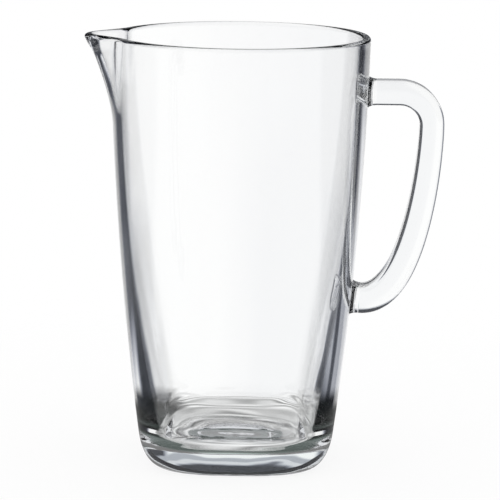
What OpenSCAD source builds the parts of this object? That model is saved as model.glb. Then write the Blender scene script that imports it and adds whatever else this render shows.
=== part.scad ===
// Clear pressed-glass beer pitcher: a vessel that is square at the foot and round at the rim, with a
// pulled pouring lip, and a solid glass handle that is fused to the wall by two flared welds.
// Millimetres. +Z is up, the table is z = 0, the vessel's axis is the Z axis, the pouring lip points
// to -X and the handle stands at +X.

/* [Vessel] */
// Height of the rim above the table
vessel_h = 233; // [210:1:255]
// Outside diameter of the round rim
rim_d = 140; // [126:1:154]
// Outside width across the flats where the wall line meets the table
foot_w = 101; // [90:1:112]
// Wall thickness just under the rim
wall_rim = 4.2; // [3.4:0.1:5.2]
// Wall thickness across the flats at the foot
wall_foot = 8.8; // [7:0.1:10.5]
// Height of the cavity's floor above the table
floor_h = 13; // [9:0.5:18]

/* [Foot] */
// Height of the rounded heel around the foot
heel_h = 18; // [12:0.5:24]
// How far the heel draws in under the wall
heel_in = 8.2; // [5:0.1:12]
// Diameter of the hollow pressed into the underside
punt_d = 64; // [48:1:72]
// Depth of that hollow
punt_h = 3; // [1.5:0.1:4.5]
// Height of the fillet between the cavity's wall and its floor
fillet_h = 10.5; // [6.5:0.5:14.5]
// Width of that fillet
fillet_in = 7.5; // [5:0.5:11]

/* [Pouring lip] */
// How far the lip stands out past the round rim
lip_reach = 13.5; // [9:0.5:17]
// Width of the lip at the rim
lip_w = 58; // [48:1:68]
// Height below the rim at which the lip starts to swell out of the wall
lip_h = 47; // [36:1:60]
// How far the lip's rim swells past the wall on either side
lip_bead = 1.4; // [0.6:0.1:2]
// Height below the rim at which that bead starts
bead_h = 12; // [8:1:16]

/* [Handle] */
// Drop from the rim to the middle of the upper arm
arm_drop = 29.8; // [24:0.2:38]
// Height of the middle of the lower weld above the table
foot_weld_z = 90.2; // [80:0.2:100]
// Distance from the wall at the upper arm to the middle of the grip
grip_out = 34.5; // [30:0.5:40]
// Radius of the upper bend, along the middle of the bar
bend_r = 17.5; // [14:0.5:20]
// Thickness of the bar at the upper arm, seen from the side
bar_t_top = 13.3; // [11:0.1:16]
// Thickness of the bar at the lower weld, seen from the side
bar_t_foot = 15.3; // [12:0.1:18]
// Depth of the bar, seen from behind
bar_d = 16; // [13:0.5:20]
// Radius of the bar's edges on the outside of the bend
bar_outer_r = 4.6; // [3:0.1:5.4]
// Radius of the bar's edges on the side of the fingers
bar_inner_r = 2.4; // [1.6:0.1:3.4]
// Straight pull of the grip below the upper bend
grip_pull = 21; // [12:1:30]
// Straight pull of the grip out of the lower weld
foot_pull = 30; // [22:1:38]

/* [Welds] */
// Length of each weld, from the wall to the end of the bar
weld_l = 4.5; // [3.5:0.1:6]
// How far each weld flares out around the bar where it meets the wall
weld_flare = 2.2; // [1.2:0.1:3.2]
// How far a weld reaches into the wall before it is cut to the wall's own curve
weld_sink = 3; // [2.4:0.1:3.6]

/* [Hidden] */
glass = [0.86, 0.92, 0.91, 0.4];
// Exponents of the plan outline: 2 is a circle, and a higher one is squarer
round_plan = 2;
ring_plan = 2.8;
foot_plan = 3.9;
cavity_plan = 3.3;
// How far the wall bows out of the straight line from foot to rim
bow_share = 0.77;
// Power by which the wall thins from the foot to the rim
wall_power = 1.3;
// Power by which the lip grows towards the rim, and how much narrower its root is
lip_power = 1.5;
lip_root_share = 0.2;
// How much taller the rounded rim is at the bead
bead_drop = 0.6;
// Points around each ring, and rings along each stretch of the vessel
plan_points = 96;
heel_rings = 6;
wall_rings = 14;
rim_rings = 6;
fillet_rings = 5;
// Points on each rounded edge of the bar, and rings along each stretch of it
edge_points = 5;
bend_rings = 10;
grip_rings = 26;
flare_rings = 6;

rim_r = wall_rim / 2;
lip_z = vessel_h - lip_h;
// A circle of this radius through the edge of the hollow is as high as the hollow is deep
punt_r = (punt_d * punt_d / 4 + punt_h * punt_h) / (2 * punt_h);

// Outline of the vessel
function rise(z) = z / vessel_h;
function outer_half(z) =
    foot_w / 2 + (rim_d - foot_w) / 2 * (rise(z) + bow_share * rise(z) * (1 - rise(z)));
function wall_at(z) = wall_rim + (wall_foot - wall_rim) * pow(1 - rise(z), wall_power);
function plan_at(z, foot_value) = round_plan + (foot_value - round_plan) * pow(1 - rise(z), 2);
function plan_radius(half, plan, a) =
    half / pow(pow(abs(cos(a)), plan) + pow(abs(sin(a)), plan), 1 / plan);

// Swelling of the pouring lip, which pushes the wall towards -X
function lip_rise(z) = max(0, (z - lip_z) / lip_h);
function lip_half(z) = lip_w / 2 * (1 - lip_root_share * (1 - lip_rise(z)));
function lip_swell(x, y, z) =
    (x > 0 || abs(y) > lip_half(z)) ? 0 : pow(cos(90 * y / lip_half(z)), 2);
function lip_push(z) = lip_reach * pow(lip_rise(z), lip_power);
// Share of the bead at a height, from nothing at its root to all of it at the rim
function bead_share(z) = pow(max(0, 1 - (vessel_h - z) / bead_h), 2);

// One ring of the vessel. Its facing is 1 on the outside, -1 on the inside and 0 where there is no bead
function ring(half, plan, z, facing) = [
    for (i = [0 : plan_points - 1])
        let (
            a = 360 * i / plan_points,
            r = plan_radius(half, plan, a),
            x = r * cos(a),
            y = r * sin(a),
            swell = lip_swell(x, y, z),
            bead = facing == 0 ? 0 : bead_share(z) * swell
        )
        [
            x - swell * lip_push(z) - bead * facing * lip_bead,
            y,
            vessel_h - (vessel_h - z) * (1 + bead_drop * bead)
        ]
];

// Rings from the foot up the outside to the rim, and then down the inside to the floor
function heel_z(a) = heel_h * (1 - cos(a));
function heel_part() = [
    for (k = [0 : heel_rings])
        let (
            a = 90 * k / heel_rings,
            z = heel_z(a),
            plan = ring_plan + (plan_at(z, foot_plan) - ring_plan) * sin(a)
        )
        ring(outer_half(z) - heel_in * (1 - sin(a)), plan, z, 1)
];
function outside_part(facing) = [
    for (k = [1 : wall_rings])
        let (z = heel_h + (vessel_h - rim_r - heel_h) * k / wall_rings)
        ring(outer_half(z), plan_at(z, foot_plan), z, facing)
];
function rim_part() = [
    for (k = [1 : rim_rings])
        let (a = 180 * k / rim_rings)
        ring(rim_d / 2 - rim_r + rim_r * cos(a), round_plan, vessel_h - rim_r + rim_r * sin(a), cos(a))
];
function cavity_half(z) = outer_half(z) - wall_at(z);
function inside_part() = [
    for (k = [1 : wall_rings])
        let (z = vessel_h - rim_r + (floor_h + fillet_h - vessel_h + rim_r) * k / wall_rings)
        ring(cavity_half(z), plan_at(z, cavity_plan), z, -1)
];
function fillet_part() = [
    for (k = [1 : fillet_rings])
        let (a = 90 * k / fillet_rings, z = floor_h + fillet_h * (1 - sin(a)))
        ring(cavity_half(floor_h + fillet_h) - fillet_in * (1 - cos(a)), plan_at(z, cavity_plan), z, -1)
];

// A closed solid through a list of rings with equal numbers of points
module loft(rings) {
    count = len(rings[0]);
    last = len(rings) - 1;
    polyhedron(
        points = [for (r = rings) each r],
        faces = concat(
            [[for (i = [0 : count - 1]) i]],
            [[for (i = [count - 1 : -1 : 0]) last * count + i]],
            [
                for (k = [0 : last - 1], i = [0 : count - 1])
                    let (j = (i + 1) % count)
                    each [
                        [k * count + i, (k + 1) * count + i, (k + 1) * count + j],
                        [k * count + i, (k + 1) * count + j, k * count + j]
                    ]
            ]
        )
    );
}

// The wall as if the vessel were solid glass, to cut the welds to its outside
module solid_wall() {
    loft(outside_part(0));
}

// Places along the middle of the bar, as [x, z]
arm_z = vessel_h - arm_drop;
arm_wall_x = outer_half(arm_z);
grip_x = arm_wall_x + grip_out;
bend_x = grip_x - bend_r;
foot_wall_x = outer_half(foot_weld_z);
// Slope of the wall at the lower weld, so that the bar leaves the wall squarely there
foot_lean = atan2(outer_half(foot_weld_z + weld_l) - outer_half(foot_weld_z - weld_l), 2 * weld_l);
foot_out = [cos(foot_lean), -sin(foot_lean)];

arm_end = [arm_wall_x + weld_l, arm_z];
foot_end = [foot_wall_x, foot_weld_z] + weld_l * foot_out;
pull_points = [
    [grip_x, arm_z - bend_r],
    [grip_x, arm_z - bend_r - grip_pull],
    foot_end + foot_pull * foot_out,
    foot_end
];

function curve_at(p, s) =
    pow(1 - s, 3) * p[0] + 3 * pow(1 - s, 2) * s * p[1] + 3 * (1 - s) * s * s * p[2] + pow(s, 3) * p[3];
function curve_way(p, s) =
    pow(1 - s, 2) * (p[1] - p[0]) + 2 * (1 - s) * s * (p[2] - p[1]) + s * s * (p[3] - p[2]);

// Each station of the bar is [place, way, share of the bar's length from the arm to the lower weld]
function bar_stations() = concat(
    [[arm_end, [1, 0], 0]],
    [
        for (k = [0 : bend_rings])
            let (a = 90 * (1 - k / bend_rings))
            [[bend_x + bend_r * cos(a), arm_z - bend_r + bend_r * sin(a)], [sin(a), -cos(a)], 0]
    ],
    [
        for (k = [1 : grip_rings])
            let (s = k / grip_rings, way = curve_way(pull_points, s))
            [curve_at(pull_points, s), way / norm(way), s]
    ]
);

// Rounded outline of the bar, [across, deep], grown by an even margin. Its outside is at +1 or -1 across
function bar_outline(t, margin, outside) = [
    for (q = [0 : 3], k = [0 : edge_points])
        let (
            a = 90 * (q + k / edge_points),
            u_side = (q == 0 || q == 3) ? 1 : -1,
            w_side = (q < 2) ? 1 : -1,
            edge_r = u_side == outside ? bar_outer_r : bar_inner_r
        )
        [
            u_side * (t / 2 - edge_r) + (edge_r + margin) * cos(a),
            w_side * (bar_d / 2 - edge_r) + (edge_r + margin) * sin(a)
        ]
];

// The outline set square to the bar's way at one place
function bar_ring(place, way, t, margin, outside) = [
    for (p = bar_outline(t, margin, outside))
        [place[0] - way[1] * p[0], p[1], place[1] + way[0] * p[0]]
];

// A weld grows from the end of the bar to the wall like a fillet, then runs on into the wall
function flare_at(s) = weld_flare * (1 - sqrt(1 - pow(1 - s, 2)));
function weld_rings(seat, out, t, outside) = concat(
    [bar_ring(seat - weld_sink * out, out, t, weld_flare, outside)],
    [
        for (k = [0 : flare_rings])
            let (s = 1 - cos(90 * k / flare_rings))
            bar_ring(seat + s * weld_l * out, out, t, flare_at(s), outside)
    ]
);

module vessel() {
    color(glass)
    difference() {
        loft(concat(heel_part(), outside_part(1), rim_part(), inside_part(), fillet_part()));
        translate([0, 0, punt_h - punt_r]) sphere(r = punt_r, $fn = 128);
    }
}

module handle() {
    color(glass)
    loft([
        for (s = bar_stations())
            bar_ring(s[0], s[1], bar_t_top + (bar_t_foot - bar_t_top) * s[2], 0, 1)
    ]);
}

module weld(seat, out, t, outside) {
    color(glass)
    difference() {
        loft(weld_rings(seat, out, t, outside));
        solid_wall();
    }
}

module upper_weld() {
    weld([arm_wall_x, arm_z], [1, 0], bar_t_top, 1);
}

module lower_weld() {
    weld([foot_wall_x, foot_weld_z], foot_out, bar_t_foot, -1);
}

vessel();
handle();
upper_weld();
lower_weld();
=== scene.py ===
# %% [markdown]
# # A clear glass beer pitcher
# The pitcher is one heavy piece of clear soda-lime glass: a pressed vessel that is square at the foot
# and round at the rim, a lip that was pulled while the glass was soft, and a solid bar of glass for a
# handle, fused to the wall at both ends. Clear glass has no colour of its own to paint. What we see is
# the room, bent by the shape, so this lesson spends its time on exact shapes and on a studio with white
# cards and dark gaps. The frame below holds the measured solids, in metres, and every piece is made in
# the same place.

# %% Load the frame
import math

import bmesh
import bpy
from mathutils import Matrix, Vector


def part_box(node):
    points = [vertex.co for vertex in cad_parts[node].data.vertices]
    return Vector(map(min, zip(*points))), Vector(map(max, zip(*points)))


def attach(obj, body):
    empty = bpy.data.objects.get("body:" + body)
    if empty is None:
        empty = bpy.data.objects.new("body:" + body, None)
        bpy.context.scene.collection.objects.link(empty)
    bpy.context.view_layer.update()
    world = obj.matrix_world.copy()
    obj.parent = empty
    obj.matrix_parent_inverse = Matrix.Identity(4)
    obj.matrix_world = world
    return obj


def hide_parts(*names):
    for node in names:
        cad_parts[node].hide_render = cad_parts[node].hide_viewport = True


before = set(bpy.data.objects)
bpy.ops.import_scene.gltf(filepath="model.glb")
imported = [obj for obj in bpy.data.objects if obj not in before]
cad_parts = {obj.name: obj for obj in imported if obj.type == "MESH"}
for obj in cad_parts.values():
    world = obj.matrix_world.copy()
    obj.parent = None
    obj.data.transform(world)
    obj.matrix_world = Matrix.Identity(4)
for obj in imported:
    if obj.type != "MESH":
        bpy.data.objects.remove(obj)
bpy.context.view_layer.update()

scene = bpy.context.scene
scene.view_settings.view_transform = "Standard"
MM = 0.001
print("nodes in the frame:", sorted(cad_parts))

# %% [markdown]
# ## The camera
# The photograph was taken with a long lens from a little above the rim, so the mouth is a flat ellipse
# and the walls hardly converge. A long lens is set by its distance and by how many millimetres of
# sensor the picture covers. The camera here stands 1.5 m off, and it is tipped by under a degree
# because the pitcher leans that much in the picture.

# %% Place the camera
picture_pixels = 500
focal_pixels = 2805.5
sensor_width = 36.0
camera_distance = 1500 * MM
camera_height = 397 * MM
camera_side_step = 6.5 * MM
camera_pitch = math.radians(10.63)
camera_roll = math.radians(0.76)

camera_data = bpy.data.cameras.new("camera")
camera_data.sensor_width = sensor_width
camera_data.lens = focal_pixels * sensor_width / picture_pixels
camera = bpy.data.objects.new("camera", camera_data)
scene.collection.objects.link(camera)
camera.matrix_world = (
    Matrix.Translation((camera_side_step, -camera_distance, camera_height))
    @ Matrix.Rotation(math.radians(90) - camera_pitch, 4, "X")
    @ Matrix.Rotation(camera_roll, 4, "Z")
)
scene.camera = camera
print("lens", round(camera_data.lens, 1), "mm")

# %% [markdown]
# ## Helpers for node trees
# Geometry trees, shader groups and materials are all made of nodes with sockets. A few small helpers
# keep the cells short: one adds a node and fills its inputs, one adds a sum, one multiplies a row of
# values, and two declare a named input or output. An input that is given a socket is linked to it, and
# any other value is written on the input itself.

# %% Node helpers
def add_node(tree, kind, inputs=None, **settings):
    node = tree.nodes.new(kind)
    for name, value in settings.items():
        setattr(node, name, value)
    for key, value in (inputs or {}).items():
        if isinstance(value, bpy.types.NodeSocket):
            tree.links.new(value, node.inputs[key])
        else:
            node.inputs[key].default_value = value
    return node


def calc(tree, operation, *values):
    return add_node(tree, "ShaderNodeMath", dict(enumerate(values)), operation=operation).outputs[0]


def product(tree, first, *others):
    for value in others:
        first = calc(tree, "MULTIPLY", first, value)
    return first


def add_input(tree, name, kind):
    return tree.interface.new_socket(name, in_out="INPUT", socket_type=kind).identifier


def add_output(tree, name, kind):
    return tree.interface.new_socket(name, in_out="OUTPUT", socket_type=kind).identifier


print("helpers ready")

# %% [markdown]
# ## The glass
# Pressed glass is never quite flat. The mould and the flame leave long, shallow waves on the walls and
# upright streaks low on them, the plunger leaves rings on the floor and in the fillet around it, and
# the heavy foot, which sets last, comes out uneven. The foot ring also gets scuffed on the table. All
# of these are patterns that the pieces share, so they are one shader group. It puts out a height in
# metres for a Bump node and a scuff mask for the roughness, and reads Object coordinates, so the
# pattern stays on the piece from every side.

# %% Shader group for pressed glass
SKIN_INPUTS = (
    "Wave Length", "Wave Depth", "Upright Stretch",
    "Ring Length", "Ring Depth", "Ring Top", "Inside Half",
    "Foot Length", "Foot Depth", "Foot Top",
    "Streak Length", "Streak Depth", "Streak Top",
    "Scuff Height", "Scuff Grain",
)
NOISE_ROUGHNESS, NOISE_MIDDLE = 0.35, 0.5
EVEN, SOFT, FINE, GRAINY = 0.0, 1.0, 1.5, 3.0
FULL_BELOW = 0.6
RING_WOBBLE, WOBBLE_STRETCH = 0.6, 3.0
FOOT_STRETCH, STREAK_STRETCH = 3.0, 0.12
NO_SPOT, FULL_SPOT = -0.05, 0.1
UNDERSIDE_TOP = 10 * MM


def noise(group, place, length, detail):
    scale = calc(group, "DIVIDE", 1.0, length)
    node = add_node(
        group, "ShaderNodeTexNoise",
        {"Vector": place, "Scale": scale, "Detail": detail, "Roughness": NOISE_ROUGHNESS},
    )
    return calc(group, "SUBTRACT", node.outputs["Fac"], NOISE_MIDDLE)


def stretch(group, place, upright):
    factors = add_node(group, "ShaderNodeCombineXYZ", {0: 1.0, 1: 1.0, 2: upright}).outputs[0]
    return add_node(group, "ShaderNodeVectorMath", {0: place, 1: factors}, operation="MULTIPLY").outputs[0]


def below(group, height, top):
    full = calc(group, "MULTIPLY", top, FULL_BELOW)
    fade = add_node(group, "ShaderNodeMapRange", {"Value": height, "From Min": top, "From Max": full})
    return fade.outputs[0]


def make_pressed_skin():
    group = bpy.data.node_groups.new("pressed_skin", "ShaderNodeTree")
    for name in SKIN_INPUTS:
        add_input(group, name, "NodeSocketFloat")
    add_output(group, "Height", "NodeSocketFloat")
    add_output(group, "Scuff", "NodeSocketFloat")
    given = group.nodes.new("NodeGroupInput").outputs
    place = add_node(group, "ShaderNodeTexCoord").outputs["Object"]
    x, y, z = add_node(group, "ShaderNodeSeparateXYZ", {0: place}).outputs

    waves = noise(group, stretch(group, place, given["Upright Stretch"]), given["Wave Length"], FINE)
    waves = calc(group, "MULTIPLY", waves, given["Wave Depth"])

    fourths = calc(group, "ADD", product(group, x, x, x, x), product(group, y, y, y, y))
    square = calc(group, "POWER", fourths, 1 / 4)
    within = calc(group, "LESS_THAN", square, given["Inside Half"])
    inside = product(group, within, calc(group, "GREATER_THAN", z, UNDERSIDE_TOP))
    wobble_length = calc(group, "MULTIPLY", given["Ring Length"], WOBBLE_STRETCH)
    wobble = calc(group, "MULTIPLY", noise(group, place, wobble_length, EVEN), RING_WOBBLE)
    count = calc(group, "DIVIDE", calc(group, "ADD", square, z), given["Ring Length"])
    phase = calc(group, "ADD", count, wobble)
    rings = calc(group, "SINE", calc(group, "MULTIPLY", phase, 2 * math.pi))
    rings = product(group, rings, given["Ring Depth"], inside, below(group, z, given["Ring Top"]))

    lumps = noise(group, stretch(group, place, FOOT_STRETCH), given["Foot Length"], SOFT)
    outside = calc(group, "SUBTRACT", 1.0, inside)
    lumps = product(group, lumps, given["Foot Depth"], outside, below(group, z, given["Foot Top"]))

    streaks = noise(group, stretch(group, place, STREAK_STRETCH), given["Streak Length"], SOFT)
    streaks = product(group, streaks, given["Streak Depth"], below(group, z, given["Streak Top"]))

    grain = noise(group, place, given["Scuff Grain"], GRAINY)
    spots = add_node(
        group, "ShaderNodeMapRange", {"Value": grain, "From Min": NO_SPOT, "From Max": FULL_SPOT}
    )
    scuff = calc(group, "MULTIPLY", below(group, z, given["Scuff Height"]), spots.outputs[0])
    result = group.nodes.new("NodeGroupOutput")
    height = calc(group, "ADD", calc(group, "ADD", waves, streaks), calc(group, "ADD", rings, lumps))
    group.links.new(height, result.inputs["Height"])
    group.links.new(scuff, result.inputs["Scuff"])
    return group


pressed_skin = make_pressed_skin()
print("group", pressed_skin.name, "with", len(pressed_skin.nodes), "nodes")

# %% [markdown]
# Thick soda-lime glass looks green because iron in it eats a little red from light on its way through.
# The length of that way is what Light Path calls Ray Length when a ray arrives at the inside of a
# surface, so the tint of a ray that leaves the glass is worked out from it: the further it came, the
# greener it is. On the way in, seen from outside, the surface has no tint at all. The bar has waves
# alone: its other patterns keep a length, because the group divides by it, and get no depth.

# %% Glass materials
GLASS_IOR = 1.52
SCUFF_ROUGHNESS = 0.3
TINT_LENGTH = 100 * MM
TINT = (0.85, 0.92, 0.90)
WHITE = (1.0, 1.0, 1.0, 1.0)
VESSEL_SKIN = {
    "Wave Length": 38 * MM, "Wave Depth": 0.05 * MM, "Upright Stretch": 0.25,
    "Ring Length": 9 * MM, "Ring Depth": 0.12 * MM, "Ring Top": 30 * MM, "Inside Half": 48 * MM,
    "Foot Length": 26 * MM, "Foot Depth": 0.15 * MM, "Foot Top": 20 * MM,
    "Streak Length": 10 * MM, "Streak Depth": 0.06 * MM, "Streak Top": 140 * MM,
    "Scuff Height": 0.6 * MM, "Scuff Grain": 0.5 * MM,
}
BAR_SKIN = {
    "Wave Length": 22 * MM, "Wave Depth": 0.02 * MM, "Upright Stretch": 0.6,
    "Ring Length": 9 * MM, "Foot Length": 26 * MM, "Streak Length": 10 * MM, "Scuff Grain": 0.5 * MM,
}


def blend_colour(tree, share, low, high):
    return add_node(tree, "ShaderNodeMix", {"Factor": share, 6: low, 7: high}, data_type="RGBA").outputs[2]


def make_glass(name, skin_values):
    material = bpy.data.materials.new(name)
    material.use_nodes = True
    tree = material.node_tree
    shader = tree.nodes["Principled BSDF"]
    shader.inputs["IOR"].default_value = GLASS_IOR
    shader.inputs["Transmission Weight"].default_value = 1.0
    skin = add_node(tree, "ShaderNodeGroup", node_tree=pressed_skin)
    for key, value in skin_values.items():
        skin.inputs[key].default_value = value
    bump = add_node(tree, "ShaderNodeBump", {"Height": skin.outputs["Height"], "Distance": 1.0})
    tree.links.new(bump.outputs["Normal"], shader.inputs["Normal"])
    rough = calc(tree, "MULTIPLY", skin.outputs["Scuff"], SCUFF_ROUGHNESS)
    tree.links.new(rough, shader.inputs["Roughness"])
    way = add_node(tree, "ShaderNodeLightPath").outputs["Ray Length"]
    share = calc(tree, "DIVIDE", way, TINT_LENGTH)
    eaten = add_node(
        tree, "ShaderNodeCombineColor",
        {key: calc(tree, "POWER", part, share) for key, part in enumerate(TINT)},
    )
    leaving = add_node(tree, "ShaderNodeNewGeometry").outputs["Backfacing"]
    tint = blend_colour(tree, leaving, WHITE, eaten.outputs[0])
    tree.links.new(tint, shader.inputs["Base Color"])
    return material


vessel_glass = make_glass("vessel_glass", VESSEL_SKIN)
bar_glass = make_glass("bar_glass", BAR_SKIN)

fused_joint = bpy.data.materials.new("fused_joint")
fused_joint.use_nodes = True
fused_joint.node_tree.nodes["Principled BSDF"].inputs["Alpha"].default_value = 0.0
print("materials:", vessel_glass.name, bar_glass.name, fused_joint.name)

# %% [markdown]
# ## The vessel's outline
# The vessel is a turned shape whose rings are not round: a superellipse, |x|^n + |y|^n = 1, is a circle
# for n = 2 and comes close to a square with round corners for n = 4. Each point of the half section
# below has a half width, a height and a squareness n, and all three run smoothly from the foot to the
# rim. A fourth value says which way the point faces: 1 outside, -1 inside, and 0 under the foot. The
# wall is thicker at the foot, the rim is a half round, and a shallow hollow under the foot leaves a
# ring to stand on.

# %% Half section of the vessel
_, vessel_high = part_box("vessel")
vessel_height = vessel_high[2]
rim_half = vessel_high[1]
foot_half = 50.5 * MM
wall_rim, wall_foot, wall_power = 4.2 * MM, 8.8 * MM, 1.3
floor_height = 13 * MM
heel_height, heel_inset = 18 * MM, 8.2 * MM
hollow_half, hollow_height = 32 * MM, 3 * MM
fillet_height, fillet_inset = 10.5 * MM, 7.5 * MM
bow_share = 0.77
round_plan, ring_plan, foot_plan, cavity_plan = 2.0, 2.8, 3.9, 3.3
rim_radius = wall_rim / 2
HOLLOW_STEPS, RING_STEPS, HEEL_STEPS, WALL_STEPS = 16, 6, 24, 90
RIM_STEPS, FILLET_STEPS, FLOOR_STEPS = 24, 20, 10


def outer_half(z):
    rise = z / vessel_height
    return foot_half + (rim_half - foot_half) * (rise + bow_share * rise * (1 - rise))


def cavity_half(z):
    return outer_half(z) - wall_rim - (wall_foot - wall_rim) * (1 - z / vessel_height) ** wall_power


def squareness(z, foot_value):
    return round_plan + (foot_value - round_plan) * (1 - z / vessel_height) ** 2


def steps(count, first=0):
    return [k / count for k in range(first, count + 1)]


def half_section():
    points = []
    hollow_radius = (hollow_half ** 2 + hollow_height ** 2) / (2 * hollow_height)
    for s in steps(HOLLOW_STEPS):
        r = hollow_half * s
        z = hollow_height - hollow_radius + math.sqrt(hollow_radius ** 2 - r ** 2)
        points.append((r, z, round_plan, 0))
    ring_half = outer_half(0) - heel_inset
    for s in steps(RING_STEPS, 1)[:-1]:
        plan = round_plan + (ring_plan - round_plan) * s
        points.append((hollow_half + (ring_half - hollow_half) * s, 0, plan, 0))
    for s in steps(HEEL_STEPS):
        a = math.pi / 2 * s
        z = heel_height * (1 - math.cos(a))
        plan = ring_plan + (squareness(z, foot_plan) - ring_plan) * math.sin(a)
        points.append((outer_half(z) - heel_inset * (1 - math.sin(a)), z, plan, 1))
    shoulder = vessel_height - rim_radius
    for s in steps(WALL_STEPS, 1):
        z = heel_height + (shoulder - heel_height) * s
        points.append((outer_half(z), z, squareness(z, foot_plan), 1))
    for s in steps(RIM_STEPS, 1):
        a = math.pi * s
        half = rim_half - rim_radius + rim_radius * math.cos(a)
        points.append((half, shoulder + rim_radius * math.sin(a), round_plan, math.cos(a)))
    fillet_top = floor_height + fillet_height
    for s in steps(WALL_STEPS, 1):
        z = shoulder + (fillet_top - shoulder) * s
        points.append((cavity_half(z), z, squareness(z, cavity_plan), -1))
    for s in steps(FILLET_STEPS, 1):
        a = math.pi / 2 * s
        z = floor_height + fillet_height * (1 - math.sin(a))
        half = cavity_half(fillet_top) - fillet_inset * (1 - math.cos(a))
        points.append((half, z, squareness(z, cavity_plan), -1))
    floor_half = cavity_half(fillet_top) - fillet_inset
    for s in steps(FLOOR_STEPS, 1):
        points.append((floor_half * (1 - s), floor_height, squareness(floor_height, cavity_plan), -1))
    return points


section = half_section()
section_mesh = bpy.data.meshes.new("vessel")
section_edges = [(k, k + 1) for k in range(len(section) - 1)]
section_mesh.from_pydata([(half, 0, z) for half, z, _, _ in section], section_edges, [])
for column, name in ((2, "squareness"), (3, "facing")):
    values = section_mesh.attributes.new(name, "FLOAT", "POINT").data
    values.foreach_set("value", [point[column] for point in section])
vessel = bpy.data.objects.new("vessel_glass_body", section_mesh)
scene.collection.objects.link(vessel)
print(len(section), "points on the half section")

# %% [markdown]
# ## Pressing the vessel
# A Screw modifier could turn the half section, but it would only make round rings. A geometry tree can
# follow the rule instead. It lays out a flat grid with one column for each side and one row for each
# point of the half section, looks the row's point up in the half section, and sets each grid point in
# its place on the ring. Near the rim, points on the lip's side are pushed out by a smooth bump, as the
# glassmaker pulls the lip, and at the lip's edge the wall is thickened to a bead on both faces. The
# grid's first and last columns, and the rows in the middle of the foot and the floor, are merged.

# %% Geometry tree for the vessel
MERGE_DISTANCE = 0.002 * MM
LIP_SIZES = (
    "Lip Reach", "Lip Width", "Lip Depth", "Lip Root Share", "Lip Power",
    "Bead", "Bead Depth", "Bead Drop", "Height",
)


def set_position(tree, mesh, place):
    return add_node(tree, "GeometryNodeSetPosition", {"Geometry": mesh, "Position": place}).outputs[0]


def smooth_and_coat(tree, mesh, material):
    smooth = add_node(tree, "GeometryNodeSetShadeSmooth", {0: mesh})
    real = add_node(tree, "GeometryNodeRealizeInstances", {0: smooth.outputs[0]})
    coat = add_node(tree, "GeometryNodeSetMaterial", {"Geometry": real.outputs[0], "Material": material})
    return coat.outputs[0]


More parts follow.
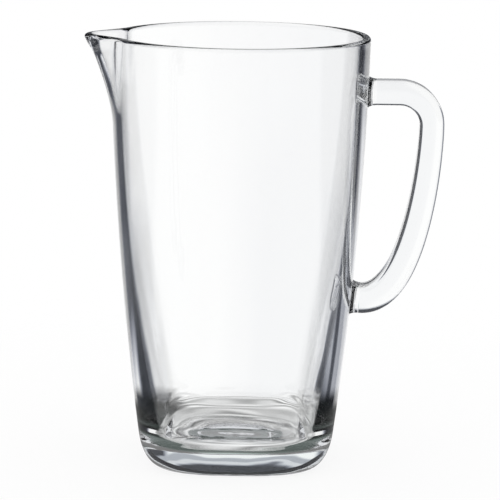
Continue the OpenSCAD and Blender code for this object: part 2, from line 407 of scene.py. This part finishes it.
def make_vessel_press():
    tree = bpy.data.node_groups.new("vessel_press", "GeometryNodeTree")
    names = {"Geometry": add_input(tree, "Geometry", "NodeSocketGeometry")}
    for name in ("Sides", "Section Points"):
        names[name] = add_input(tree, name, "NodeSocketInt")
    for name in LIP_SIZES:
        names[name] = add_input(tree, name, "NodeSocketFloat")
    names["Material"] = add_input(tree, "Material", "NodeSocketMaterial")
    add_output(tree, "Geometry", "NodeSocketGeometry")
    given = tree.nodes.new("NodeGroupInput").outputs

    columns = calc(tree, "ADD", given["Sides"], 1)
    grid = add_node(
        tree, "GeometryNodeMeshGrid", {"Vertices X": columns, "Vertices Y": given["Section Points"]}
    )
    index = add_node(tree, "GeometryNodeInputIndex").outputs[0]
    row = calc(tree, "MODULO", index, given["Section Points"])
    column = calc(tree, "FLOOR", calc(tree, "DIVIDE", index, given["Section Points"]))

    def look_up(value, data_type):
        node = add_node(tree, "GeometryNodeSampleIndex", data_type=data_type, domain="POINT")
        tree.links.new(given["Geometry"], node.inputs["Geometry"])
        tree.links.new(value, node.inputs["Value"])
        tree.links.new(row, node.inputs["Index"])
        return node.outputs[0]

    point = look_up(add_node(tree, "GeometryNodeInputPosition").outputs[0], "FLOAT_VECTOR")
    half, _, z = add_node(tree, "ShaderNodeSeparateXYZ", {0: point}).outputs

    def named(name):
        return add_node(tree, "GeometryNodeInputNamedAttribute", {"Name": name}, data_type="FLOAT").outputs[0]

    power, facing = (look_up(named(name), "FLOAT") for name in ("squareness", "facing"))

    turn = calc(tree, "MULTIPLY", calc(tree, "DIVIDE", column, given["Sides"]), 2 * math.pi)
    across, deep = calc(tree, "COSINE", turn), calc(tree, "SINE", turn)
    total = calc(
        tree, "ADD",
        calc(tree, "POWER", calc(tree, "ABSOLUTE", across), power),
        calc(tree, "POWER", calc(tree, "ABSOLUTE", deep), power),
    )
    radius = calc(tree, "DIVIDE", half, calc(tree, "POWER", total, calc(tree, "DIVIDE", 1.0, power)))
    x, y = calc(tree, "MULTIPLY", radius, across), calc(tree, "MULTIPLY", radius, deep)

    root = calc(tree, "SUBTRACT", given["Height"], given["Lip Depth"])
    rise = calc(tree, "DIVIDE", calc(tree, "SUBTRACT", z, root), given["Lip Depth"])
    rise = calc(tree, "MAXIMUM", rise, 0.0)
    narrow = calc(tree, "MULTIPLY", given["Lip Root Share"], calc(tree, "SUBTRACT", 1.0, rise))
    lip_half = calc(
        tree, "MULTIPLY", calc(tree, "MULTIPLY", given["Lip Width"], 0.5), calc(tree, "SUBTRACT", 1.0, narrow)
    )
    offset = calc(tree, "MINIMUM", calc(tree, "ABSOLUTE", calc(tree, "DIVIDE", y, lip_half)), 1.0)
    swell = calc(tree, "POWER", calc(tree, "COSINE", calc(tree, "MULTIPLY", offset, math.pi / 2)), 2.0)
    swell = calc(tree, "MULTIPLY", swell, calc(tree, "LESS_THAN", x, 0.0))
    push = calc(tree, "MULTIPLY", given["Lip Reach"], calc(tree, "POWER", rise, given["Lip Power"]))
    depth = calc(tree, "SUBTRACT", given["Height"], z)
    near_rim = calc(tree, "SUBTRACT", 1.0, calc(tree, "DIVIDE", depth, given["Bead Depth"]))
    near_rim = calc(tree, "POWER", calc(tree, "MAXIMUM", near_rim, 0.0), 2.0)
    thicker = calc(tree, "MULTIPLY", calc(tree, "MULTIPLY", facing, near_rim), given["Bead"])
    push = calc(tree, "MULTIPLY", calc(tree, "ADD", push, thicker), swell)
    taller = calc(tree, "MULTIPLY", calc(tree, "MULTIPLY", near_rim, swell), given["Bead Drop"])
    lower = calc(tree, "MULTIPLY", depth, calc(tree, "ADD", 1.0, taller))
    z = calc(tree, "SUBTRACT", given["Height"], lower)
    place = add_node(tree, "ShaderNodeCombineXYZ", {0: calc(tree, "SUBTRACT", x, push), 1: y, 2: z})

    pressed = set_position(tree, grid.outputs["Mesh"], place.outputs[0])
    closed = add_node(
        tree, "GeometryNodeMergeByDistance", {"Geometry": pressed, "Distance": MERGE_DISTANCE}
    )
    coated = smooth_and_coat(tree, closed.outputs[0], given["Material"])
    add_node(tree, "NodeGroupOutput", {0: coated})
    return tree, names


vessel_press, press_names = make_vessel_press()
print("vessel_press:", len(vessel_press.nodes), "nodes")

# %% [markdown]
# A tree is turned into a plain mesh in one place, so that each piece is finished in the same way: the
# values go onto the modifier by each input's identifier, the evaluated object becomes a mesh, and the
# normals are made to point outwards.

# %% Run a geometry tree
MILLILITRE = 1e-6


def run_tree(obj, tree, names, values):
    modifier = obj.modifiers.new(tree.name, "NODES")
    modifier.node_group = tree
    for name, value in values.items():
        modifier[names[name]] = value
    return finish_mesh(obj)


def finish_mesh(obj):
    depsgraph = bpy.context.evaluated_depsgraph_get()
    mesh = bpy.data.meshes.new_from_object(obj.evaluated_get(depsgraph), depsgraph=depsgraph)
    obj.modifiers.clear()
    kept = [material for material in mesh.materials if material]
    places = [kept.index(material) if material else 0 for material in mesh.materials]
    shell = bmesh.new()
    shell.from_mesh(mesh)
    for face in shell.faces:
        face.material_index = places[face.material_index]
    mesh.materials.clear()
    for material in kept:
        mesh.materials.append(material)
    bmesh.ops.recalc_face_normals(shell, faces=shell.faces)
    for edge in shell.edges:
        kinds = {face.material_index for face in edge.link_faces}
        edge.smooth = len(kinds) == 1
    shell.to_mesh(mesh)
    loose = sum(1 for edge in shell.edges if len(edge.link_faces) != 2)
    volume = shell.calc_volume() / MILLILITRE
    print(obj.name, len(mesh.polygons), "faces,", loose, "open edges, volume", round(volume, 1), "ml")
    shell.free()
    return mesh


vessel.data = run_tree(
    vessel, vessel_press, press_names,
    {
        "Sides": 256, "Section Points": len(section), "Height": vessel_height,
        "Lip Reach": 13.5 * MM, "Lip Width": 58 * MM, "Lip Depth": 47 * MM,
        "Lip Root Share": 0.2, "Lip Power": 1.5,
        "Bead": 1.4 * MM, "Bead Depth": 12 * MM, "Bead Drop": 0.6,
        "Material": vessel_glass,
    },
)

# %% [markdown]
# ## The handle
# The handle is a bar of glass that leaves the wall at the upper weld, turns down in a quarter circle
# and comes back to the wall in one long pull. Its middle line is a Bezier curve of four points, whose
# handles are the same lengths as in the solid. The bar is a little thicker at its foot, but its depth
# stays the same.

# %% Middle line of the bar
arm_z = vessel_height - 29.8 * MM
foot_z = 90.2 * MM
grip_out, bend_radius = 34.5 * MM, 17.5 * MM
bar_top, bar_foot, bar_depth = 13.3 * MM, 15.3 * MM, 16 * MM
outer_edge, inner_edge = 4.6 * MM, 2.4 * MM
grip_pull, foot_pull = 21 * MM, 30 * MM
weld_length = 4.5 * MM
QUARTER_ARC = 4 / 3 * (math.sqrt(2) - 1)
LINE_RESOLUTION = 48

wall_slope = (outer_half(foot_z + weld_length) - outer_half(foot_z - weld_length)) / (2 * weld_length)
foot_way = Vector((1, 0, -wall_slope)).normalized()
arm_way = Vector((1, 0, 0))
down = Vector((0, 0, -1))
arm_seat = Vector((outer_half(arm_z), 0, arm_z))
foot_seat = Vector((outer_half(foot_z), 0, foot_z))
arm_end = arm_seat + weld_length * arm_way
foot_end = foot_seat + weld_length * foot_way
grip_x = arm_seat.x + grip_out
bend_start = Vector((grip_x - bend_radius, 0, arm_z))
bend_end = Vector((grip_x, 0, arm_z - bend_radius))
arc_pull = QUARTER_ARC * bend_radius
third = (bend_start - arm_end) / 3

bar_line = bpy.data.curves.new("bar_line", "CURVE")
bar_line.dimensions = "3D"
spline = bar_line.splines.new("BEZIER")
spline.bezier_points.add(3)
for knot, (before, place, after) in zip(spline.bezier_points, (
    (arm_end - third, arm_end, arm_end + third),
    (bend_start - third, bend_start, bend_start + arc_pull * arm_way),
    (bend_end - arc_pull * down, bend_end, bend_end + grip_pull * down),
    (foot_end + foot_pull * foot_way, foot_end, foot_end - foot_pull * foot_way),
)):
    knot.handle_left_type = knot.handle_right_type = "FREE"
    knot.handle_left, knot.co, knot.handle_right = before, place, after
spline.resolution_u = LINE_RESOLUTION
bar_guide = bpy.data.objects.new("bar_guide", bar_line)
scene.collection.objects.link(bar_guide)
print("bar runs from", [round(v, 4) for v in arm_end], "to", [round(v, 4) for v in foot_end])

# %% [markdown]
# Curve to Mesh sweeps a rounded rectangle along that line. The edges on the outer side of the bend are
# rounder than those on the side of the fingers. The sweep's scale makes the whole section grow towards
# the foot, and a Set Position node then brings the depth back, so only the thickness seen from the side
# grows. The two end caps are the only faces with more than four corners, so they are easy to find, and
# they get the fused material.

# %% Geometry tree for the bar
OVER_FOUR = 4.5


def separate_position(tree):
    place = add_node(tree, "GeometryNodeInputPosition").outputs[0]
    return add_node(tree, "ShaderNodeSeparateXYZ", {0: place}).outputs


def make_bar_draw():
    tree = bpy.data.node_groups.new("bar_draw", "GeometryNodeTree")
    names = {"Geometry": add_input(tree, "Geometry", "NodeSocketGeometry")}
    for name in ("Rings", "Edge Points"):
        names[name] = add_input(tree, name, "NodeSocketInt")
    for name in ("Top Thickness", "Foot Thickness", "Depth", "Outer Edge", "Inner Edge", "Grow From"):
        names[name] = add_input(tree, name, "NodeSocketFloat")
    for name in ("Material", "End Material"):
        names[name] = add_input(tree, name, "NodeSocketMaterial")
    add_output(tree, "Geometry", "NodeSocketGeometry")
    given = tree.nodes.new("NodeGroupInput").outputs

    line = add_node(tree, "GeometryNodeResampleCurve", {"Curve": given["Geometry"], "Count": given["Rings"]})
    way = add_node(tree, "GeometryNodeSplineParameter").outputs["Factor"]
    grown = add_node(
        tree, "ShaderNodeMapRange", {"Value": way, "From Min": given["Grow From"], "From Max": 1.0}
    )
    ratio = calc(tree, "DIVIDE", given["Foot Thickness"], given["Top Thickness"])
    extra = calc(tree, "SUBTRACT", ratio, 1.0)
    growth = calc(tree, "ADD", 1.0, calc(tree, "MULTIPLY", extra, grown.outputs[0]))
    kept = add_node(tree, "GeometryNodeCaptureAttribute", domain="POINT")
    kept.capture_items.new("FLOAT", "Growth")
    tree.links.new(line.outputs[0], kept.inputs["Geometry"])
    tree.links.new(growth, kept.inputs["Growth"])
    outline = add_node(
        tree, "GeometryNodeCurvePrimitiveQuadrilateral",
        {"Width": given["Depth"], "Height": given["Top Thickness"]},
    )
    finger_side = calc(tree, "GREATER_THAN", separate_position(tree)["Y"], 0.0)
    edge = add_node(
        tree, "GeometryNodeSwitch",
        {"Switch": finger_side, "False": given["Outer Edge"], "True": given["Inner Edge"]},
        input_type="FLOAT",
    )
    rounded = add_node(
        tree, "GeometryNodeFilletCurve",
        {"Curve": outline.outputs[0], "Count": given["Edge Points"], "Radius": edge.outputs[0]},
        mode="POLY",
    )
    swept = add_node(
        tree, "GeometryNodeCurveToMesh",
        {"Curve": kept.outputs["Geometry"], "Profile Curve": rounded.outputs[0],
         "Scale": kept.outputs["Growth"], "Fill Caps": True},
    )
    x, y, z = separate_position(tree)
    depth = calc(tree, "DIVIDE", y, kept.outputs["Growth"])
    place = add_node(tree, "ShaderNodeCombineXYZ", {0: x, 1: depth, 2: z})
    even = set_position(tree, swept.outputs[0], place.outputs[0])
    coated = smooth_and_coat(tree, even, given["Material"])
    corners = add_node(tree, "GeometryNodeInputMeshFaceNeighbors").outputs["Vertex Count"]
    ends = calc(tree, "GREATER_THAN", corners, OVER_FOUR)
    result = add_node(
        tree, "GeometryNodeSetMaterial",
        {"Geometry": coated, "Selection": ends, "Material": given["End Material"]},
    )
    add_node(tree, "NodeGroupOutput", {0: result.outputs[0]})
    return tree, names


bar_draw, bar_names = make_bar_draw()
arm_share = (bend_start - arm_end).length + math.pi / 2 * bend_radius
line_length = sum(s.calc_length() for s in bar_line.splines)
handle_mesh = run_tree(
    bar_guide, bar_draw, bar_names,
    {
        "Rings": 160, "Edge Points": 10,
        "Top Thickness": bar_top, "Foot Thickness": bar_foot, "Depth": bar_depth,
        "Outer Edge": outer_edge, "Inner Edge": inner_edge, "Grow From": arm_share / line_length,
        "Material": bar_glass, "End Material": fused_joint,
    },
)
handle = bpy.data.objects.new("handle_bar", handle_mesh)
scene.collection.objects.link(handle)
bpy.data.objects.remove(bar_guide)
bar_box = [round(side / MM, 2) for side in handle.dimensions]
print("middle line", round(line_length / MM, 1), "mm long, box", bar_box, "mm")

# %% [markdown]
# ## The welds
# Where the soft bar was pressed onto the wall, the glass swelled into a collar that runs out on the
# wall like a fillet. One function makes both collars. It slides each line of the collar along the bar's
# way until it meets the wall, so the collar fits the curved wall exactly, and then goes a little way
# into it.

# %% Mesh of a weld
weld_flare, weld_sink = 2.2 * MM, 0.3 * MM
EDGE_STEPS, FLARE_STEPS, FACE_STEPS = 10, 10, 8
SLIDE_REACH, SLIDE_HALVINGS = 30 * MM, 40
WELD_MERGE = 0.0001 * MM


def bar_outline(thickness, outward, margin, shrink):
    points = []
    for quarter, (u_side, w_side) in enumerate(((1, 1), (-1, 1), (-1, -1), (1, -1))):
        edge = outer_edge if u_side == outward else inner_edge
        for s in steps(EDGE_STEPS):
            a = math.pi / 2 * (quarter + s)
            u = u_side * (thickness / 2 - edge) + (edge + margin) * math.cos(a)
            w = w_side * (bar_depth / 2 - edge) + (edge + margin) * math.sin(a)
            points.append((u * shrink, w * shrink))
    return points


def outside_wall(point):
    half, n = outer_half(point.z), squareness(point.z, foot_plan)
    return abs(point.x / half) ** n + abs(point.y / half) ** n - 1


def slide_to_wall(point, way):
    near, far = -SLIDE_REACH, SLIDE_REACH
    for _ in range(SLIDE_HALVINGS):
        middle = (near + far) / 2
        if outside_wall(point + middle * way) > 0:
            far = middle
        else:
            near = middle
    return near


def weld_mesh(name, seat, way, thickness, outward):
    side = Vector((-way.z, 0, way.x))
    deep = Vector((0, 1, 0))

    def ring(margin, shrink, share, sink):
        loop = []
        collar = bar_outline(thickness, outward, margin, shrink)
        on_wall = bar_outline(thickness, outward, weld_flare, shrink)
        for (u, w), (u_wall, w_wall) in zip(collar, on_wall):
            foot = slide_to_wall(seat + u_wall * side + w_wall * deep, way) - sink
            along = foot + (weld_length - foot) * share
            loop.append(seat + u * side + w * deep + along * way)
        return loop

    loops = [ring(0, shrink, 1, 0) for shrink in steps(FACE_STEPS, 1)]
    for s in reversed(steps(FLARE_STEPS)[:-1]):
        share = 1 - math.cos(math.pi / 2 * s)
        loops.append(ring(weld_flare * (1 - math.sqrt(1 - (1 - share) ** 2)), 1, share, 0))
    wall_loop = len(loops) - 1
    loops += [ring(weld_flare, shrink, 0, weld_sink) for shrink in reversed(steps(FACE_STEPS, 1))]
    shell = bmesh.new()
    rows = [[shell.verts.new(p) for p in loop] for loop in loops]
    count = len(rows[0])
    for k in range(len(rows) - 1):
        for i in range(count):
            j = (i + 1) % count
            face = shell.faces.new((rows[k][i], rows[k][j], rows[k + 1][j], rows[k + 1][i]))
            face.material_index = 0 if FACE_STEPS - 1 <= k < wall_loop else 1
            face.smooth = True
    for row in (rows[0], rows[-1]):
        cap = shell.faces.new(row)
        cap.material_index = 1
    bmesh.ops.remove_doubles(shell, verts=shell.verts, dist=WELD_MERGE)
    mesh = bpy.data.meshes.new(name)
    mesh.materials.append(bar_glass)
    mesh.materials.append(fused_joint)
    shell.to_mesh(mesh)
    shell.free()
    weld = bpy.data.objects.new(name, mesh)
    scene.collection.objects.link(weld)
    weld.data = finish_mesh(weld)
    return weld


upper_weld = weld_mesh("upper_weld_collar", arm_seat, arm_way, bar_top, 1)
lower_weld = weld_mesh("lower_weld_collar", foot_seat, foot_way, bar_foot, -1)

# %% [markdown]
# The wall gets a shallow seat for each collar. A Boolean cuts it with the collar's own mesh, and the
# seat's faces take the collar's material, which is invisible there: light goes straight from wall to
# collar, as in fused glass.

# %% Seat the welds in the wall
for collar in (upper_weld, lower_weld):
    cut = vessel.modifiers.new(collar.name, "BOOLEAN")
    cut.operation = "DIFFERENCE"
    cut.solver = "EXACT"
    cut.material_mode = "TRANSFER"
    cut.object = collar
vessel.data = finish_mesh(vessel)
print("vessel materials:", [m.name for m in vessel.data.materials])

# %% [markdown]
# Each finished piece takes the place of its solid in the frame. Nothing on a jug moves, so all four
# ride on the root body, and all four are of the same glass.

# %% Hand the pieces to the frame
for piece, node in (
    (vessel, "vessel"), (handle, "handle"), (upper_weld, "upper_weld"), (lower_weld, "lower_weld")
):
    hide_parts(node)
    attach(piece, "root")
    print(piece.name, "replaces", node)

# %% [markdown]
# ## The studio
# Clear glass shows nothing but the room, and it shows it along three kinds of path. A straight ray is
# only bent on its way through and sees what stands behind the pitcher. A folded ray was thrown back
# inside the glass and leaves far to the side: such rays draw the dark bands along the walls. A mirrored
# ray never enters. The world keeps one ring of light for each kind, so the white backdrop, the dark
# flags beside it and the softboxes can be set one by one. A real studio has one set of cards for all
# three, so this is a stand-in for one. Light Path tells the kinds apart, because a folded ray was
# reflected before it was bent for the last time.
#
# Every ring has a base level, cards that are laid over it in turn, and ceilings above them. A card has
# a middle, a half width and a soft edge in degrees of azimuth, where 0 is behind the pitcher and -90 is
# on the side of the lip, and it may have a lowest and a highest elevation. A ceiling begins at one
# elevation, is full at the next, and has a level of its own. The dark cards are slate, so what is dark
# in the glass is also a little blue.

# %% Rings of light
STRAIGHT_RING = {
    "base": 1.0,
    "ceilings": ((11.2, 12.0, 0.5), (13.2, 13.6, 0.75), (14.2, 15.2, 0.06)),
    "cards": (
        {"name": "right half of the backdrop", "middle": 30, "half": 30, "edge": 8, "level": 0.94},
        {"name": "left flag", "middle": -56, "half": 24, "edge": 12, "level": 0.25, "lowest": -24},
        {"name": "right flag", "middle": 46, "half": 28, "edge": 6, "level": 0.05, "lowest": -24},
    ),
}
FOLDED_RING = {
    "base": 1.0,
    "ceilings": ((9, 13, 0.8),),
    "cards": (
        {"name": "right back card", "middle": 18, "half": 18, "edge": 6, "level": 0.7},
        {"name": "left back wall", "middle": -33, "half": 21, "edge": 8, "level": 0.06, "lowest": -18},
        {"name": "right back wall", "middle": 38, "half": 12, "edge": 8, "level": 0.05, "lowest": -16},
        {"name": "left floor flag", "middle": -66, "half": 20, "edge": 10, "level": 0.03, "highest": -18},
        {"name": "right floor card", "middle": 60, "half": 32, "edge": 10, "level": 0.5, "highest": -17},
        {"name": "right floor strip", "middle": 52, "half": 4, "edge": 4, "level": 0.1, "highest": -17},
        {"name": "lowest flag", "middle": 0, "half": 100, "edge": 10, "level": 0.08, "highest": -24},
        {"name": "lip slit", "middle": -12, "half": 18, "edge": 6, "level": 0.03,
         "lowest": -17, "highest": -15},
        {"name": "dark rim wall", "middle": 0, "half": 50, "edge": 16, "level": 0.02, "lowest": -9},
    ),
}
MIRRORED_RING = {
    "base": 1.0,
    "ceilings": ((-6, -1, 0.06),),
    "cards": (
        {"name": "left flag", "middle": -66, "half": 36, "edge": 10, "level": 0.3},
        {"name": "right flag", "middle": 70, "half": 34, "edge": 8, "level": 0.1},
    ),
}
SLATE = (0.76, 0.82, 1.0, 1.0)
CARD_EDGE = 3.0
FILL_LEVEL = 1.1
HALF_TURN = 180.0


def blend(tree, share, low, high):
    return add_node(tree, "ShaderNodeMix", {"Factor": share, 2: low, 3: high}, data_type="FLOAT").outputs[0]


def soft_step(tree, value, none, full):
    return add_node(
        tree, "ShaderNodeMapRange", {"Value": value, "From Min": none, "From Max": full},
        interpolation_type="SMOOTHSTEP",
    ).outputs[0]


def split_paths(tree):
    path = add_node(tree, "ShaderNodeLightPath").outputs
    bent = path["Is Transmission Ray"]
    folded = calc(tree, "MULTIPLY", bent, calc(tree, "GREATER_THAN", path["Glossy Depth"], 0.5))
    seen = calc(tree, "MAXIMUM", path["Is Glossy Ray"], bent)
    return path["Is Camera Ray"], seen, bent, folded


print("rings with", [len(ring["cards"]) for ring in (STRAIGHT_RING, FOLDED_RING, MIRRORED_RING)], "cards")

# %% [markdown]
# The world's shader works out where a ray goes as an azimuth and an elevation, lays the cards of each
# ring on top of each other, and picks the ring by the kind of path. For the camera the background is
# plain white, and all other light, which falls on the table, has one even level.

# %% World
def make_world():
    world = bpy.data.worlds.new("studio")
    world.use_nodes = True
    tree = world.node_tree
    tree.nodes.clear()
    way = add_node(tree, "ShaderNodeTexCoord").outputs["Generated"]
    x, y, z = add_node(tree, "ShaderNodeSeparateXYZ", {0: way}).outputs
    azimuth = calc(tree, "MULTIPLY", calc(tree, "ARCTAN2", x, y), HALF_TURN / math.pi)
    elevation = calc(tree, "MULTIPLY", calc(tree, "ARCSINE", z), HALF_TURN / math.pi)

    def ring_level(ring):
        level = ring["base"]
        for card in ring["cards"]:
            turned = calc(tree, "SUBTRACT", azimuth, card["middle"])
            aside = calc(tree, "ABSOLUTE", calc(tree, "WRAP", turned, HALF_TURN, -HALF_TURN))
            soft = card["edge"] / 2
            share = soft_step(tree, aside, card["half"] + soft, card["half"] - soft)
            if "lowest" in card:
                above = soft_step(tree, elevation, card["lowest"] - CARD_EDGE, card["lowest"])
                share = calc(tree, "MULTIPLY", share, above)
            if "highest" in card:
                under = soft_step(tree, elevation, card["highest"] + CARD_EDGE, card["highest"])
                share = calc(tree, "MULTIPLY", share, under)
            level = blend(tree, share, level, card["level"])
        for start, end, ceiling_level in ring["ceilings"]:
            level = blend(tree, soft_step(tree, elevation, start, end), level, ceiling_level)
        return level

    camera_ray, seen, bent, folded = split_paths(tree)
    through = blend(tree, folded, ring_level(STRAIGHT_RING), ring_level(FOLDED_RING))
    studio = blend(tree, bent, ring_level(MIRRORED_RING), through)
    level = blend(tree, camera_ray, blend(tree, seen, FILL_LEVEL, studio), 1.0)
    colour = blend_colour(tree, level, SLATE, WHITE)
    light = add_node(tree, "ShaderNodeBackground", {"Color": colour, "Strength": level})
    add_node(tree, "ShaderNodeOutputWorld", {"Surface": light.outputs[0]})
    return world


scene.world = make_world()
print("world", len(scene.world.node_tree.nodes), "nodes")

# %% [markdown]
# The pitcher stands on a white table. The camera sees it whole, with a soft shadow, and it fades into
# the white of the background. Seen through the glass it is only as large as the foot's surroundings,
# and there its colour is painted light and shade that glows by itself. The painted rings of light stand
# for those a heavy foot gathers on the table, as a lens does. A cosine of the distance from the middle
# makes these rings, one noise bends them so that they look poured and not turned, and another makes
# them stronger in one place than in the next. Painted shade makes the table darker on the lip's side.
# Folded rays see a painted dark ring under the foot's edge, a little green as thick glass is, and
# mirrored rays see a painted grey.

# %% Table
TABLE_RADIUS, TABLE_FADE, TABLE_SIDES = 450 * MM, 150 * MM, 96
SHADE_FROM, SHADE_TO = 125 * MM, 150 * MM
TABLE_WHITE, TABLE_GLOW = 0.9, 0.88
# painted light: pitch, mean and swing of the rings of light and shade painted on the table
SHADE_PITCH, SHADE_MEAN, SHADE_SWING = 17 * MM, 0.66, 0.42
WARP_LENGTH, WARP_TURNS = 60 * MM, 2.5
PATCH_LENGTH, PATCH_SWING, PATCH_MEAN = 35 * MM, 2.5, 0.5
# painted shade: levels by radius of the dark ring under the foot's edge that folded rays see
FOLDED_SHADE = (
    (0 * MM, 0.7), (30 * MM, 0.5), (40 * MM, 0.2), (50 * MM, 0.1),
    (62 * MM, 0.14), (75 * MM, 0.05), (100 * MM, 0.0),
)
# painted shade: the grey level of the table in rays mirrored by the glass
MIRRORED_SHADE = 0.2
# painted shade: where and how dark the table is painted on the lip's side
SIDE_SLOPES, SIDE_REACH, SIDE_SHADE = (0.4, 0.6), (70 * MM, 95 * MM), 0.08
# tone of that painted dark ring, a little green as thick glass is
EDGE_GREEN = (0.82, 1.0, 0.94)


# paints a ring of shade from a list of radii and levels
def shade_ramp(tree, reach, rings, tone):
    widest = rings[-1][0]
    shade = add_node(tree, "ShaderNodeValToRGB", {0: calc(tree, "DIVIDE", reach, widest)})
    stops = shade.color_ramp.elements
    stops.remove(stops[-1])
    for radius, level in rings:
        stop = stops.new(radius / widest) if radius else stops[0]
        stop.color = [level * part for part in tone] + [1.0]
    return shade.outputs[0]


# painted light and shade: rings on the table that stand for light gathered by the foot
def painted_light_rings(tree, place, reach):
    warp = calc(tree, "MULTIPLY", noise(tree, place, WARP_LENGTH, EVEN), WARP_TURNS)
    turns = calc(tree, "ADD", calc(tree, "DIVIDE", reach, SHADE_PITCH), warp)
    wave = calc(tree, "COSINE", calc(tree, "MULTIPLY", turns, 2 * math.pi))
    patch = calc(tree, "MULTIPLY", noise(tree, place, PATCH_LENGTH, EVEN), PATCH_SWING)
    swing = calc(tree, "MULTIPLY", calc(tree, "ADD", patch, PATCH_MEAN), SHADE_SWING)
    rings = calc(tree, "ADD", calc(tree, "MULTIPLY", wave, swing), SHADE_MEAN)
    # painted shade: the rings are blended to SIDE_SHADE on the lip's side of the table
    lip_way = calc(tree, "MULTIPLY", add_node(tree, "ShaderNodeSeparateXYZ", {0: place}).outputs["X"], -1.0)
    lip_side = soft_step(tree, calc(tree, "DIVIDE", lip_way, reach), *SIDE_SLOPES)
    beside = product(tree, lip_side, soft_step(tree, reach, *SIDE_REACH))
    return blend(tree, beside, rings, SIDE_SHADE)


def grey(level):
    return (level, level, level, 1.0)


def make_table_and_painted_light():
    material = bpy.data.materials.new("table_and_painted_light")
    material.use_nodes = True
    tree = material.node_tree
    tree.nodes.clear()
    place = add_node(tree, "ShaderNodeTexCoord").outputs["Object"]
    reach = add_node(tree, "ShaderNodeVectorMath", {0: place}, operation="LENGTH").outputs["Value"]
    _, seen, bent, folded = split_paths(tree)
    whole_edge = soft_step(tree, reach, TABLE_RADIUS - TABLE_FADE, TABLE_RADIUS)
    gone = blend(tree, seen, whole_edge, soft_step(tree, reach, SHADE_FROM, SHADE_TO))
    # painted shade: the dark ring under the foot's edge
    painted_foot_shade = shade_ramp(tree, reach, FOLDED_SHADE, EDGE_GREEN)
    through = blend_colour(tree, folded, painted_light_rings(tree, place, reach), painted_foot_shade)
    # painted shade: mirrored rays see a grey table
    painted_colour = blend_colour(tree, bent, grey(MIRRORED_SHADE), through)

    def mix(share, first, second):
        return add_node(tree, "ShaderNodeMixShader", {0: share, 1: first, 2: second}).outputs[0]

    # painted light and shade: this emission paints the rings, the dark ring and the grey that the glass shows
    painted_light_in_glass = add_node(tree, "ShaderNodeEmission", {"Color": painted_colour}).outputs[0]
    matt = add_node(tree, "ShaderNodeBsdfDiffuse", {"Color": grey(TABLE_WHITE)}).outputs[0]
    glow = add_node(tree, "ShaderNodeEmission", {"Color": WHITE}).outputs[0]
    clear = add_node(tree, "ShaderNodeBsdfTransparent").outputs[0]
    surface = mix(gone, mix(seen, mix(TABLE_GLOW, matt, glow), painted_light_in_glass), clear)
    add_node(tree, "ShaderNodeOutputMaterial", {"Surface": surface})
    return material


def make_table():
    shell = bmesh.new()
    bmesh.ops.create_circle(shell, cap_ends=True, segments=TABLE_SIDES, radius=TABLE_RADIUS)
    mesh = bpy.data.meshes.new("table")
    shell.to_mesh(mesh)
    shell.free()
    mesh.materials.append(make_table_and_painted_light())
    table = bpy.data.objects.new("table", mesh)
    scene.collection.objects.link(table)
    return table


table = make_table()
print("table", TABLE_RADIUS / MM, "mm in radius")

# %% [markdown]
# ## Light paths
# Light that enters the thick foot is thrown about inside it many times before it leaves. With Blender's
# usual four glossy bounces it would be given up as black too soon, so the limits are raised.

# %% Bounces
scene.cycles.max_bounces = 32
scene.cycles.glossy_bounces = 24
scene.cycles.transmission_bounces = 24
scene.cycles.transparent_max_bounces = 24
print("bounces", scene.cycles.max_bounces)
